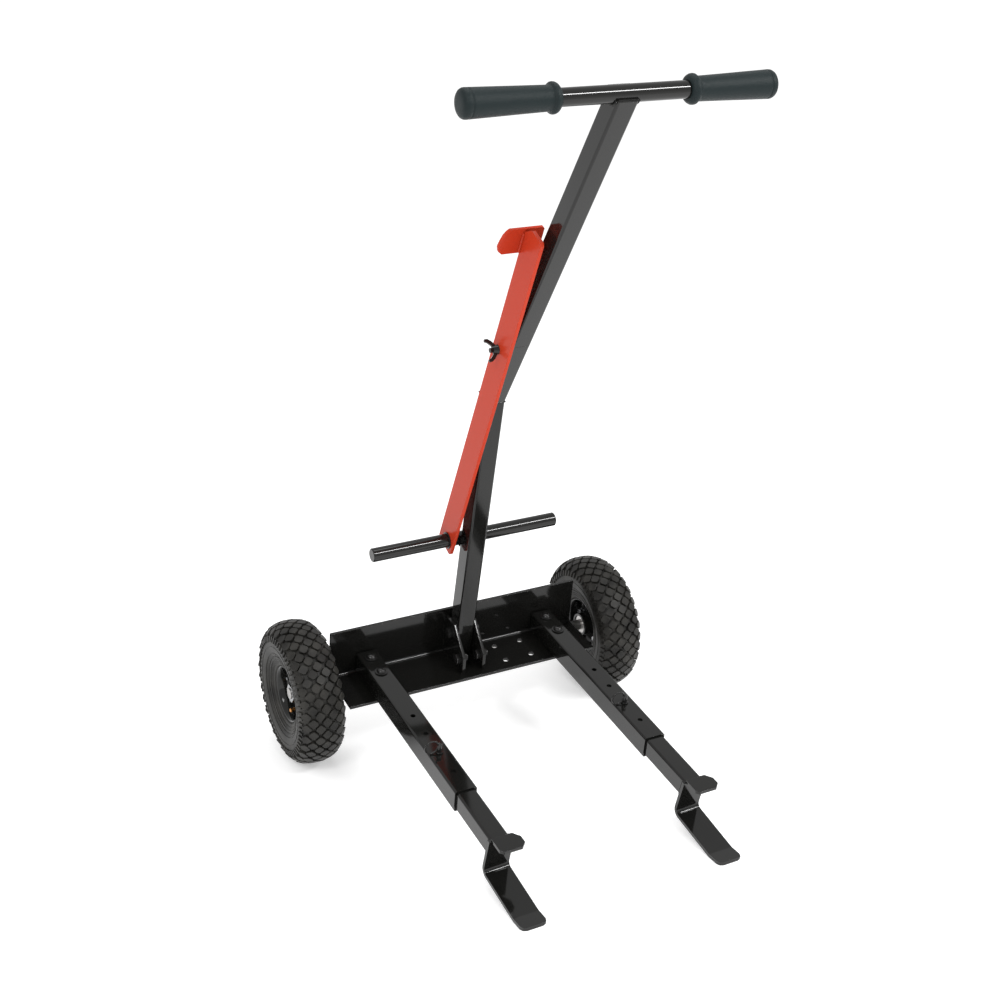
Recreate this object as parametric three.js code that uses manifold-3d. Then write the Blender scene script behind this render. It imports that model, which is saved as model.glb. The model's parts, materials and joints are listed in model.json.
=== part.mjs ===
// A two-wheeled lever lifting dolly: a tilted black steel frame on pneumatic wheels, with two
// telescoping forks that end in open hook jaws, a T-handle, a cross bar and a red swinging prop leg.
// Units are millimetres, +Z is up, the forks point to -Y and the wheel axle lies along X.
import * as THREE from 'three';
import { mergeVertices } from 'three/addons/utils/BufferGeometryUtils.js';
import Module from 'manifold-3d';

const wasm = await Module();
wasm.setup();

// ---- driving dimensions -------------------------------------------------------------------------
const GAP = 0.3; // left between pieces that touch
const FRAME_TILT = THREE.MathUtils.degToRad(9.5); // how far the whole frame leans forward

// wheels, 4.10/3.50-4 size
const WHEEL_RADIUS = 131;
const WHEEL_X = 305; // half the track
const TYRE_HALF_WIDTH = 43;
const RIM_FLANGE_RADIUS = 60;
const RIM_SEAT_RADIUS = 50;
const RIM_HALF_WIDTH = 30;
const RIM_SHEET = 2.5;
const HUB_RADIUS = 22;
const HUB_BORE = 17.8;
const HUB_INNER_END = -30; // from the middle of the wheel, outwards positive
const HUB_OUTER_END = 12;
const BEARING_WIDTH = 12;

// axle, in the frame's own coordinates: its centre line is the frame's origin
const AXLE_RADIUS = 10;
const AXLE_HALF_LENGTH = 328;
const AXLE_NUT_THICKNESS = 8;
const AXLE_NUT_FLATS = 30;

// base angle
const BASE_HALF_LENGTH = 250;
const BASE_THICKNESS = 6;
const BASE_BEND_RADIUS = 5;
const FLANGE_BOTTOM = AXLE_RADIUS + 0.4;
const FLANGE_TOP = FLANGE_BOTTOM + BASE_THICKNESS;
const FLANGE_FRONT = -96.5;
const BACK_PLATE_TOP = 108;

// gussets that hold the upright
const GUSSET_THICKNESS = 6;
const GUSSET_TOP = 97;
const GUSSET_SHOULDER = 50;
const GUSSET_FRONT_TOP = -37;
const GUSSET_FRONT = -83;

// upright and handle
const POST_SIZE = 34; // square tube
const POST_WALL = 2.5;
const POST_CORNER = 4;
const POST_FOOT_CLEARANCE = 1.3; // clears the inner bend of the base
const POST_FOOT_Y = -17.9; // centre line at the level of the axle
const LOWER_LEAN = THREE.MathUtils.degToRad(5.2);
const UPPER_LEAN = THREE.MathUtils.degToRad(26.6);
const BEND_HEIGHT = 572.7;
const UPPER_LENGTH = 653; // bend to the middle of the handlebar
const SEAM_DISTANCE = 149; // bend to the seam of the handle section
const SPLICE_LENGTH = 120;
const HANDLEBAR_RADIUS = 12.5;
const HANDLEBAR_WALL = 2.5;
const HANDLEBAR_HALF_LENGTH = 238;
const GRIP_INNER_X = 101;
const GRIP_OUTER_X = 245;

// cross bar, welded to the back of the upright
const BAR_RADIUS = 12.5;
const BAR_CHAMFER = 1.5;
const BAR_HALF_LENGTH = 182;
const BAR_HEIGHT = 267;

// prop leg, pivoting on the cross bar at the left of the upright
const LEG_FRONT = -20; // edges of the flat bar, from the pivot
const LEG_REAR = 30;
const LEG_THICKNESS = 6;
const LEG_LEAN = THREE.MathUtils.degToRad(18.3);
const LEG_TOP = 679.5; // along the leg from the pivot
const LEG_BOTTOM = -20;
const LEG_TO_POST = 12.4; // air between the leg and the upright
const LEG_HOLE_RADIUS = BAR_RADIUS + 0.5;
const PLATE_X = [-73.5, -1.5];
const PLATE_TOP = 669.5; // along the leg from the pivot
const PLATE_HEIGHT = 45;
const PLATE_THICKNESS = 5;
const RETAINER_RADIUS = 15.5;
const RETAINER_THICKNESS = 2;
const CLAMP_ALONG = 445; // pivot to the clamp screw, along the leg
const CLAMP_ACROSS = 13; // towards the leg's rear edge
const CLAMP_RADIUS = 4;
const CLAMP_NUT_FLATS = 15;
const CLAMP_NUT_LENGTH = 9;
const WING_ANGLE = THREE.MathUtils.degToRad(-59); // from the leg's own line

// forks
const FORK_X = 181;
const FORK_SIZE = 40;
const FORK_WALL = 2.5;
const FORK_CORNER = 4;
const FORK_REAR = -4;
const FORK_FRONT = -412.6;
const FORK_BOLTS_Y = [-24.7, -70.7];
const SPARE_FORK_X = [73.5, 127.2]; // other places for the right fork
const BOLT_HOLE_RADIUS = 5.5;
const PIN_HOLES_Y = [-206.4, -259, -311.6, -364.2];
const PIN_Y = PIN_HOLES_Y[2];
const PIN_HOLE_RADIUS = 4.6;
const INNER_SIZE = 34;
const INNER_WALL = 3;
const INNER_REAR = -235;

// hook jaws
const HOOK_WIDTH = 45;
const HOOK_THICKNESS = 6;
const HOOK_SIDE_SHIFT = 2;
const HOOK_TOP_REAR = -529;
const HOOK_HEEL = [-518, -20]; // Y and Z of the outer corner between the back and the tongue
const HOOK_LIP_BEND = -627;
const HOOK_LIP_END = -657;
const HOOK_BEND_RADIUS = 8;
const TAB_THICKNESS = 6;
const TAB_FRONT = -568;
const TAB_RIGHT = 29;

// fasteners
const BOLT_RADIUS = 5;
const NUT_FLATS = 17;
const NUT_HEIGHT = 8;
const HEAD_HEIGHT = 6.5;
const PIN_RADIUS = 4;
const RING_RADIUS = 12; // middle of the wire
const RING_WIRE = 1.5;

// ---- materials ----------------------------------------------------------------------------------
const material = (color, roughness, metalness) =>
  new THREE.MeshStandardMaterial({ color, roughness, metalness });
const blackPaint = material(0x121212, 0.2, 0.1);
const redPaint = material(0xc9331c, 0.35, 0.05);
const gripRubber = material(0x2b3738, 0.7, 0);
const tyreRubber = material(0x35342f, 0.85, 0);
const tubeRubber = material(0x1c1c1c, 0.8, 0);
const zinc = material(0xb9bcc0, 0.35, 0.9);
const steel = material(0xa8a8a8, 0.4, 0.9);
const blackSteel = material(0x1a1a1a, 0.35, 0.5);

// ---- geometry helpers ---------------------------------------------------------------------------
// Merged corners, no slivers, and faces that point out.
function closed(geometry) {
  const bare = geometry.index ? geometry.toNonIndexed() : geometry.clone();
  bare.deleteAttribute('normal');
  bare.deleteAttribute('uv');
  const merged = mergeVertices(bare, 1e-3);
  const position = merged.attributes.position;
  const index = merged.index.array;
  const kept = [];
  let volume = 0;
  const [a, b, c] = [new THREE.Vector3(), new THREE.Vector3(), new THREE.Vector3()];
  for (let i = 0; i < index.length; i += 3) {
    const [p, q, r] = [index[i], index[i + 1], index[i + 2]];
    if (p === q || q === r || r === p) continue;
    kept.push(p, q, r);
    a.fromBufferAttribute(position, p);
    b.fromBufferAttribute(position, q);
    c.fromBufferAttribute(position, r);
    volume += a.dot(b.cross(c));
  }
  if (volume < 0) kept.reverse();
  merged.setIndex(kept);
  return merged;
}

function solidOf(geometry) {
  const clean = closed(geometry);
  return new wasm.Manifold(new wasm.Mesh({
    numProp: 3,
    vertProperties: new Float32Array(clean.attributes.position.array),
    triVerts: new Uint32Array(clean.index.array),
  }));
}

function geometryOf(solid) {
  const mesh = solid.getMesh();
  const geometry = new THREE.BufferGeometry();
  geometry.setAttribute('position', new THREE.BufferAttribute(mesh.vertProperties, 3));
  geometry.setIndex([...mesh.triVerts]);
  return geometry;
}

// Takes each of the tools away from the body.
function cut(body, ...tools) {
  let solid = solidOf(body);
  for (const tool of tools) solid = solid.subtract(solidOf(tool));
  return geometryOf(solid);
}

function box(low, high) {
  const size = high.map((value, i) => value - low[i]);
  const middle = high.map((value, i) => (value + low[i]) / 2);
  return new THREE.BoxGeometry(...size).translate(...middle);
}

function shapeOf(points) {
  return new THREE.Shape(points.map(([u, v]) => new THREE.Vector2(u, v)));
}

function extrude(shape, length) {
  return new THREE.ExtrudeGeometry(shape, { depth: length, bevelEnabled: false, curveSegments: 3 });
}

// Turns extrusion coordinates (u, v, w) into (y, z, x).
function layAlongX(geometry) {
  const turn = new THREE.Matrix4().set(0, 0, 1, 0, 1, 0, 0, 0, 0, 1, 0, 0, 0, 0, 0, 1);
  return geometry.applyMatrix4(turn);
}

// A side outline of [y, z] points, run from one X to another.
function profileX(points, fromX, toX) {
  return layAlongX(extrude(shapeOf(points), toX - fromX)).translate(fromX, 0, 0);
}

// A cylinder along x, y or z, from one end to the other.
function rod(axis, radius, from, to, sides = 20) {
  const geometry = new THREE.CylinderGeometry(radius, radius, to - from, sides);
  if (axis === 'x') geometry.rotateZ(-Math.PI / 2);
  if (axis === 'z') geometry.rotateX(Math.PI / 2);
  const middle = (from + to) / 2;
  return geometry.translate(...['x', 'y', 'z'].map((name) => (name === axis ? middle : 0)));
}

// A profile of [distance along the axis, radius] points, turned about X.
function turnedX(points, sides = 24) {
  const profile = points.map(([along, radius]) => new THREE.Vector2(radius, along));
  return new THREE.LatheGeometry(profile, sides).rotateZ(-Math.PI / 2);
}

function turnedZ(points, sides = 16) {
  const profile = points.map(([along, radius]) => new THREE.Vector2(radius, along));
  return new THREE.LatheGeometry(profile, sides).rotateX(Math.PI / 2);
}

// A hollow round bar along X.
function roundTube(radius, wall, halfLength, sides = 24) {
  const inside = radius - wall;
  return turnedX([
    [-halfLength, inside],
    [-halfLength, radius],
    [halfLength, radius],
    [halfLength, inside],
    [-halfLength, inside],
  ], sides);
}

function roundedSquare(size, corner) {
  const half = size / 2;
  const straight = half - corner;
  const shape = new THREE.Shape();
  shape.moveTo(half, -straight);
  shape.absarc(straight, straight, corner, 0, Math.PI / 2);
  shape.absarc(-straight, straight, corner, Math.PI / 2, Math.PI);
  shape.absarc(-straight, -straight, corner, Math.PI, Math.PI * 1.5);
  shape.absarc(straight, -straight, corner, Math.PI * 1.5, Math.PI * 2);
  return shape;
}

// A square tube along +Z, from 0 to its length.
function squareTube(size, wall, corner, length) {
  const shape = roundedSquare(size, corner);
  shape.holes.push(roundedSquare(size - 2 * wall, Math.max(corner - wall, 0.5)));
  return extrude(shape, length);
}

function hexNut(flats, height, bore) {
  const block = new THREE.CylinderGeometry(flats / Math.sqrt(3), flats / Math.sqrt(3), height, 6);
  return cut(block.rotateX(Math.PI / 2), rod('z', bore, -height, height, 12));
}

// The outline of a strip of flat bar, bent at each inner corner of its outer line. The line runs
// through [y, z] points; the strip lies on its left.
function bentStrip(line, thickness, innerRadius, steps = 4) {
  const outer = [];
  const inner = [];
  const points = line.map(([y, z]) => new THREE.Vector2(y, z));
  const along = points.slice(1).map((point, i) => point.clone().sub(points[i]).normalize());
  const leftOf = (direction) => new THREE.Vector2(-direction.y, direction.x);
  const addPair = (point, left) => {
    outer.push(point.clone());
    inner.push(point.clone().addScaledVector(left, thickness));
  };
  addPair(points[0], leftOf(along[0]));
  for (let i = 1; i < points.length - 1; i += 1) {
    const [before, after] = [along[i - 1], along[i]];
    const turn = Math.atan2(before.cross(after), before.dot(after));
    const radius = turn > 0 ? innerRadius + thickness : innerRadius;
    const reach = radius * Math.tan(Math.abs(turn) / 2);
    const start = points[i].clone().addScaledVector(before, -reach);
    const side = turn > 0 ? 1 : -1;
    const centre = start.clone().addScaledVector(leftOf(before), side * radius);
    for (let step = 0; step <= steps; step += 1) {
      const direction = before.clone().rotateAround(new THREE.Vector2(), (turn * step) / steps);
      const left = leftOf(direction);
      addPair(centre.clone().addScaledVector(left, -side * radius), left);
    }
  }
  addPair(points.at(-1), leftOf(along.at(-1)));
  return [...outer, ...inner.reverse()].map((point) => [point.x, point.y]);
}

// ---- assembly helpers ---------------------------------------------------------------------------
const dolly = new THREE.Group();

function add(parent, name, geometry, finish) {
  const mesh = new THREE.Mesh(closed(geometry), finish);
  mesh.name = name;
  parent.add(mesh);
  return mesh;
}

// Everything but the wheels is built level, then leans forward about the axle.
const frame = new THREE.Group();
frame.position.z = WHEEL_RADIUS;
frame.rotation.x = FRAME_TILT;
dolly.add(frame);

// Height, in the leaning frame, of the floor below a given Y.
const floorBelow = (y) => -(WHEEL_RADIUS + y * Math.sin(FRAME_TILT)) / Math.cos(FRAME_TILT);

// ---- base ---------------------------------------------------------------------------------------
function buildBase() {
  const outerLine = [[FLANGE_FRONT, FLANGE_BOTTOM], [BASE_THICKNESS, FLANGE_BOTTOM],
    [BASE_THICKNESS, BACK_PLATE_TOP]];
  const outline = bentStrip(outerLine, BASE_THICKNESS, BASE_BEND_RADIUS);
  const angle = profileX(outline, -BASE_HALF_LENGTH, BASE_HALF_LENGTH);
  const holes = [];
  for (const x of [-FORK_X, ...SPARE_FORK_X, FORK_X]) {
    for (const y of FORK_BOLTS_Y) {
      holes.push(rod('z', BOLT_HOLE_RADIUS, 0, FLANGE_TOP + 10, 10).translate(x, y, 0));
    }
  }
  add(frame, 'base_angle', cut(angle, ...holes), blackPaint);
}

function buildAxle() {
  add(frame, 'axle', rod('x', AXLE_RADIUS, -AXLE_HALF_LENGTH, AXLE_HALF_LENGTH), steel);
  for (const [name, side] of [['left', -1], ['right', 1]]) {
    const nut = hexNut(AXLE_NUT_FLATS, AXLE_NUT_THICKNESS, AXLE_RADIUS + 0.35).rotateY(Math.PI / 2);
    const offset = WHEEL_X + HUB_OUTER_END + 1 + AXLE_NUT_THICKNESS / 2;
    add(frame, `axle_nut_${name}`, nut.translate(side * offset, 0, 0), zinc);
  }
}

const UPRIGHT_BOLT = [-24.4, 72]; // Y and Z, through the upright
const BRACKET_BOLT = [-64, 40]; // Y and Z, in each gusset in front of the upright

function buildGussets() {
  const outline = [
    [-GAP, FLANGE_TOP + GAP + BASE_BEND_RADIUS],
    [-BASE_BEND_RADIUS - GAP, FLANGE_TOP + GAP],
    [GUSSET_FRONT, FLANGE_TOP + GAP],
    [GUSSET_FRONT, GUSSET_SHOULDER],
    [GUSSET_FRONT_TOP, GUSSET_TOP],
    [-GAP, GUSSET_TOP],
  ];
  const inside = POST_SIZE / 2 + GAP;
  for (const [name, side] of [['left', -1], ['right', 1]]) {
    const faces = [side * inside, side * (inside + GUSSET_THICKNESS)].sort((p, q) => p - q);
    const plate = profileX(outline, ...faces);
    const holes = [UPRIGHT_BOLT, BRACKET_BOLT].map(([y, z]) =>
      rod('x', BOLT_HOLE_RADIUS, -60, 60, 12).translate(0, y, z));
    add(frame, `gusset_${name}`, cut(plate, ...holes), blackPaint);
  }
}

// A hex-head bolt along X with its head to the left of a face, and a nut beyond what it clamps.
function addBolt(place, [y, z], face, clamped) {
  const seat = face - GAP;
  const nutSeat = face + clamped + GAP;
  const corner = NUT_FLATS / Math.sqrt(3);
  const head = new THREE.CylinderGeometry(corner, corner, HEAD_HEIGHT, 6);
  head.rotateZ(-Math.PI / 2).translate(seat - HEAD_HEIGHT / 2, 0, 0);
  const shank = rod('x', BOLT_RADIUS, seat - 1, nutSeat + NUT_HEIGHT + 3, 12);
  const bolt = geometryOf(solidOf(head).add(solidOf(shank)));
  add(frame, `${place[0]}_bolt${place[1]}`, bolt.translate(0, y, z), blackSteel);
  const nut = hexNut(NUT_FLATS, NUT_HEIGHT, BOLT_RADIUS + GAP).rotateY(Math.PI / 2);
  add(frame, `${place[0]}_nut${place[1]}`, nut.translate(nutSeat + NUT_HEIGHT / 2, y, z), blackSteel);
}

// One long bolt through the upright, and a short one in each gusset ahead of it.
function buildGussetBolts() {
  const inside = POST_SIZE / 2 + GAP;
  const outside = inside + GUSSET_THICKNESS;
  addBolt(['upright', ''], UPRIGHT_BOLT, -outside, 2 * outside);
  addBolt(['bracket', '_left'], BRACKET_BOLT, -outside, GUSSET_THICKNESS);
  addBolt(['bracket', '_right'], BRACKET_BOLT, inside, GUSSET_THICKNESS);
}

// ---- upright and handle -------------------------------------------------------------------------
const bend = new THREE.Vector3(0, POST_FOOT_Y - BEND_HEIGHT * Math.tan(LOWER_LEAN), BEND_HEIGHT);

// Places a piece made along +Z so that it leans forward from a point.
function leaning(geometry, lean, from) {
  return geometry.rotateX(lean).translate(from.x, from.y, from.z);
}

// A big block that fills the space above a plane through a point, leaning by an angle.
function spaceAbove(point, lean) {
  return leaning(box([-100, -300, 0], [100, 300, 900]), lean, point);
}

function spaceBelow(point, lean) {
  return leaning(box([-100, -300, -900], [100, 300, 0]), lean, point);
}

function pointAlong(from, lean, distance) {
  return new THREE.Vector3(0, from.y - distance * Math.sin(lean), from.z + distance * Math.cos(lean));
}

const handleCentre = pointAlong(bend, UPPER_LEAN, UPPER_LENGTH);

function buildUpright() {
  const mitre = (LOWER_LEAN + UPPER_LEAN) / 2;
  const foot = pointAlong(bend, LOWER_LEAN, -620);
  const floorLevel = new THREE.Vector3(0, 0, FLANGE_TOP + POST_FOOT_CLEARANCE);
  const lower = leaning(squareTube(POST_SIZE, POST_WALL, POST_CORNER, 680), LOWER_LEAN, foot);
  const boltHole = rod('x', BOLT_HOLE_RADIUS, -60, 60, 12).translate(0, ...UPRIGHT_BOLT);
  add(frame, 'upright_lower',
    cut(lower, spaceBelow(floorLevel, 0), spaceAbove(bend, mitre), boltHole), blackPaint);

  const start = pointAlong(bend, UPPER_LEAN, -60);
  const bent = squareTube(POST_SIZE, POST_WALL, POST_CORNER, 60 + SEAM_DISTANCE - GAP / 2);
  const joint = pointAlong(bend, mitre, GAP);
  add(frame, 'upright_upper',
    cut(leaning(bent, UPPER_LEAN, start), spaceBelow(joint, mitre)), blackPaint);
}

function buildHandle() {
  const seam = pointAlong(bend, UPPER_LEAN, SEAM_DISTANCE + GAP / 2);
  const stem = squareTube(POST_SIZE, POST_WALL, POST_CORNER, UPPER_LENGTH - SEAM_DISTANCE);
  const saddle = rod('x', HANDLEBAR_RADIUS + 2 * GAP, -60, 60, 24)
    .translate(0, handleCentre.y, handleCentre.z);
  add(frame, 'handle_stem',
    cut(leaning(stem, UPPER_LEAN, seam), saddle, spaceAbove(handleCentre, UPPER_LEAN)), blackPaint);

  const bore = POST_SIZE - 2 * POST_WALL - 2 * GAP;
  const splice = squareTube(bore, 3, 1.2, SPLICE_LENGTH);
  const spliceStart = pointAlong(bend, UPPER_LEAN, SEAM_DISTANCE - SPLICE_LENGTH / 2);
  add(frame, 'splice_insert', leaning(splice, UPPER_LEAN, spliceStart), steel);

  const bar = roundTube(HANDLEBAR_RADIUS, HANDLEBAR_WALL, HANDLEBAR_HALF_LENGTH);
  add(frame, 'handlebar', bar.translate(0, handleCentre.y, handleCentre.z), blackPaint);
}

// A tapered rubber grip, closed at its outer end, with a bell flange at the inner end.
function buildGrips() {
  const bore = HANDLEBAR_RADIUS + GAP;
  const profile = [
    [GRIP_INNER_X, bore], [GRIP_INNER_X, 15], [GRIP_INNER_X + 7, 21],
    [GRIP_INNER_X + 11, 20.6], [GRIP_INNER_X + 15, 17.2], [GRIP_OUTER_X - 8, 20.3],
    [GRIP_OUTER_X - 2, 17.6], [GRIP_OUTER_X, 0],
    [HANDLEBAR_HALF_LENGTH + GAP, 0], [HANDLEBAR_HALF_LENGTH + GAP, bore], [GRIP_INNER_X, bore],
  ];
  for (const [name, turn] of [['left', Math.PI], ['right', 0]]) {
    const grip = turnedX(profile, 18).rotateY(turn);
    add(frame, `grip_${name}`, grip.translate(0, handleCentre.y, handleCentre.z), gripRubber);
  }
}

// ---- cross bar and prop leg ---------------------------------------------------------------------
const pivot = new THREE.Vector3(
  0,
  POST_FOOT_Y - BAR_HEIGHT * Math.tan(LOWER_LEAN) + POST_SIZE / 2 / Math.cos(LOWER_LEAN)
    + BAR_RADIUS + GAP,
  BAR_HEIGHT,
);
const legInside = -POST_SIZE / 2 - LEG_TO_POST;
const legOutside = legInside - LEG_THICKNESS;

function buildCrossBar() {
  const bar = turnedX([
    [-BAR_HALF_LENGTH, 0], [-BAR_HALF_LENGTH, BAR_RADIUS - BAR_CHAMFER],
    [-BAR_HALF_LENGTH + BAR_CHAMFER, BAR_RADIUS], [BAR_HALF_LENGTH - BAR_CHAMFER, BAR_RADIUS],
    [BAR_HALF_LENGTH, BAR_RADIUS - BAR_CHAMFER], [BAR_HALF_LENGTH, 0],
  ]);
  add(frame, 'cross_bar', bar.translate(0, pivot.y, pivot.z), blackPaint);
}

// The leg group has its origin at the pivot, +Z along the leg and +Y towards its rear edge.
const leg = new THREE.Group();
leg.position.copy(pivot);
leg.rotation.x = LEG_LEAN;
frame.add(leg);

function buildLeg() {
  const cornerCut = 4;
  const outline = [
    [LEG_FRONT + cornerCut, LEG_BOTTOM], [LEG_REAR - cornerCut, LEG_BOTTOM],
    [LEG_REAR, LEG_BOTTOM + cornerCut], [LEG_REAR, PLATE_TOP - 5], [LEG_REAR - 18, LEG_TOP],
    [LEG_FRONT + cornerCut, LEG_TOP], [LEG_FRONT, LEG_TOP - cornerCut],
    [LEG_FRONT, LEG_BOTTOM + cornerCut],
  ];
  const bar = profileX(outline, legOutside, legInside);
  const pivotHole = rod('x', LEG_HOLE_RADIUS, -80, 0, 24);
  const clampHole = rod('x', CLAMP_RADIUS + 0.6, -80, 0, 12).translate(0, CLAMP_ACROSS, CLAMP_ALONG);
  add(leg, 'prop_leg', cut(bar, pivotHole, clampHole), redPaint);
}

// The plate across the leg's rear edge, with its outer end rounded.
function buildFootPlate() {
  const [left, right] = PLATE_X;
  const [low, high] = [PLATE_TOP - PLATE_HEIGHT, PLATE_TOP];
  const plate = extrude(shapeOf([
    [left + 9, low], [right - 3, low], [right, low + 3], [right, high - 3], [right - 3, high],
    [left + 13, high], [left + 9, high - 4], [left + 5, high - 10], [left + 2, high - 20],
    [left, high - 29], [left, low + 13], [left + 2, low + 6],
  ]), PLATE_THICKNESS);
  plate.rotateX(Math.PI / 2).translate(0, LEG_REAR + GAP + PLATE_THICKNESS, 0);
  add(leg, 'foot_plate', plate, redPaint);
}

function buildLegRetainers() {
  const bore = BAR_RADIUS + GAP;
  const starts = { outer: legOutside - GAP - RETAINER_THICKNESS, inner: legInside + GAP };
  for (const [name, start] of Object.entries(starts)) {
    const ring = turnedX([
      [start, bore], [start, RETAINER_RADIUS], [start + RETAINER_THICKNESS, RETAINER_RADIUS],
      [start + RETAINER_THICKNESS, bore], [start, bore],
    ], 16);
    add(frame, `leg_retainer_${name}`, ring.translate(0, pivot.y, pivot.z), blackPaint);
  }
}

// A screw with two wings, threaded through a nut on the leg's inner face, that presses on the upright.
function buildClamp() {
  const nut = hexNut(CLAMP_NUT_FLATS, CLAMP_NUT_LENGTH, CLAMP_RADIUS + 0.6).rotateY(Math.PI / 2);
  const nutMiddle = legInside + GAP + CLAMP_NUT_LENGTH / 2;
  add(leg, 'clamp_nut', nut.translate(nutMiddle, CLAMP_ACROSS, CLAMP_ALONG), redPaint);

  const tip = -POST_SIZE / 2 - GAP;
  const bossEnd = legOutside - GAP;
  const shank = rod('x', CLAMP_RADIUS, bossEnd - 14, tip, 12);
  const boss = new THREE.CylinderGeometry(5.5, 8, 9, 12).rotateZ(Math.PI / 2).translate(bossEnd - 4.5, 0, 0);
  let screw = solidOf(shank).add(solidOf(boss));
  for (const side of [-1, 1]) {
    const wing = shapeOf([
      [0, 3], [3, 8], [9, 15], [14, 18.5], [19, 19], [20, 15], [15, 12.5], [10, 7.5], [8, 3],
    ].map(([out, across]) => [bossEnd - out, side * across]));
    const blade = extrude(wing, 4).rotateX(Math.PI / 2).translate(0, 2, 0);
    screw = screw.add(solidOf(blade));
  }
  const turned = geometryOf(screw).rotateX(WING_ANGLE);
  add(leg, 'wing_screw', turned.translate(0, CLAMP_ACROSS, CLAMP_ALONG), blackPaint);
}

// ---- forks --------------------------------------------------------------------------------------
const forkBottom = FLANGE_TOP + GAP;
const forkTop = forkBottom + FORK_SIZE;
const forkMiddle = (forkBottom + forkTop) / 2;
const innerTop = forkMiddle + INNER_SIZE / 2;
const tabBottom = innerTop + GAP;

// A square tube that runs forward, from one Y to another.
function forwardTube(size, wall, corner, rear, front, x) {
  return squareTube(size, wall, corner, rear - front).rotateX(Math.PI / 2).translate(x, rear, forkMiddle);
}

// Slope of the hook's back, which the inner tube's end is mitred to.
const hookLean = Math.atan2(HOOK_HEEL[0] - HOOK_TOP_REAR, innerTop - HOOK_HEEL[1]);

function buildFork(name, x) {
  const tube = forwardTube(FORK_SIZE, FORK_WALL, FORK_CORNER, FORK_REAR, FORK_FRONT, x);
  const through = (y, radius) =>
    rod('z', radius, forkBottom - 10, forkTop + 10, 10).translate(x, y, 0);
  const holes = [
    ...FORK_BOLTS_Y.map((y) => through(y, BOLT_HOLE_RADIUS)),
    ...PIN_HOLES_Y.map((y) => through(y, PIN_HOLE_RADIUS)),
  ];
  add(frame, `fork_outer_${name}`, cut(tube, ...holes), blackPaint);

  const slider = forwardTube(INNER_SIZE, INNER_WALL, FORK_CORNER, INNER_REAR, HOOK_TOP_REAR, x);
  const mitrePoint = new THREE.Vector3(x, HOOK_TOP_REAR + GAP, innerTop);
  const ahead = box([-100, -200, -200], [100, 0, 200]).rotateX(hookLean);
  ahead.translate(mitrePoint.x, mitrePoint.y, mitrePoint.z);
  add(frame, `fork_inner_${name}`, cut(slider, ahead, through(PIN_Y, PIN_HOLE_RADIUS)), blackPaint);
}

function buildHook(name, x) {
  const lipPoint = (y) => [y, floorBelow(y)];
  const outline = bentStrip(
    [lipPoint(HOOK_LIP_END), lipPoint(HOOK_LIP_BEND), HOOK_HEEL, [HOOK_TOP_REAR, innerTop]],
    HOOK_THICKNESS,
    HOOK_BEND_RADIUS,
  );
  const middle = x + HOOK_SIDE_SHIFT;
  const [left, right] = [middle - HOOK_WIDTH / 2, middle + HOOK_WIDTH / 2];
  const strip = profileX(outline, left, right);
  const cornerCut = 9;
  const plan = extrude(shapeOf([
    [left, -500], [left, HOOK_LIP_END + cornerCut], [left + cornerCut * 0.3, HOOK_LIP_END + cornerCut * 0.3],
    [left + cornerCut, HOOK_LIP_END - 0.1], [right - cornerCut, HOOK_LIP_END - 0.1],
    [right - cornerCut * 0.3, HOOK_LIP_END + cornerCut * 0.3], [right, HOOK_LIP_END + cornerCut],
    [right, -500],
  ]), 200).translate(0, 0, -100);
  add(frame, `hook_strap_${name}`, geometryOf(solidOf(strip).intersect(solidOf(plan))), blackPaint);

  const tabLeft = x - INNER_SIZE / 2;
  const tabRight = x + TAB_RIGHT;
  const tabRear = HOOK_TOP_REAR - 5;
  const tab = extrude(shapeOf([
    [tabLeft, tabRear], [tabLeft, TAB_FRONT + 5], [tabLeft + 5, TAB_FRONT], [tabRight - 8, TAB_FRONT],
    [tabRight, TAB_FRONT + 8], [tabRight, tabRear - 12], [tabRight - 10, tabRear],
  ]), TAB_THICKNESS);
  add(frame, `hook_tab_${name}`, tab.translate(0, 0, tabBottom), blackPaint);
}

function buildForkBolts(name, x) {
  FORK_BOLTS_Y.forEach((y, i) => {
    const place = `${name}_${i === 0 ? 'rear' : 'front'}`;
    const seat = forkTop + GAP;
    const end = FLANGE_BOTTOM - GAP - NUT_HEIGHT - 2;
    const bolt = turnedZ([
      [end, 0], [end, BOLT_RADIUS], [seat, BOLT_RADIUS], [seat, 11.5], [seat + 2, 11.5],
      [seat + 2, 8.5], [seat + 5.5, 6.5], [seat + 7, 0],
    ], 12);
    add(frame, `fork_bolt_${place}`, bolt.translate(x, y, 0), blackSteel);
    const nut = hexNut(NUT_FLATS, NUT_HEIGHT, BOLT_RADIUS + GAP);
    const nutMiddle = FLANGE_BOTTOM - GAP - NUT_HEIGHT / 2;
    add(frame, `fork_nut_${place}`, nut.translate(x, y, nutMiddle), blackSteel);
  });
}

// The pin stands in the outer tube's top hole and ends just above the inner tube. A pull ring is
// welded to the left of its head.
function buildHitchPin(name, x) {
  const seat = forkTop + GAP;
  const pin = turnedZ([
    [innerTop + GAP, 0], [innerTop + GAP, PIN_RADIUS], [seat, PIN_RADIUS], [seat, 6.5], [seat + 2, 6.5],
    [seat + 2, PIN_RADIUS], [seat + 16, PIN_RADIUS], [seat + 17.5, 0],
  ], 12);
  const ring = new THREE.TorusGeometry(RING_RADIUS, RING_WIRE, 6, 22).rotateX(Math.PI / 2);
  ring.translate(1 - RING_RADIUS - PIN_RADIUS, 0, seat + RING_RADIUS + RING_WIRE);
  const joined = geometryOf(solidOf(pin).add(solidOf(ring)));
  add(frame, `hitch_pin_${name}`, joined.translate(x, PIN_Y, 0), blackSteel);
}

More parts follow.
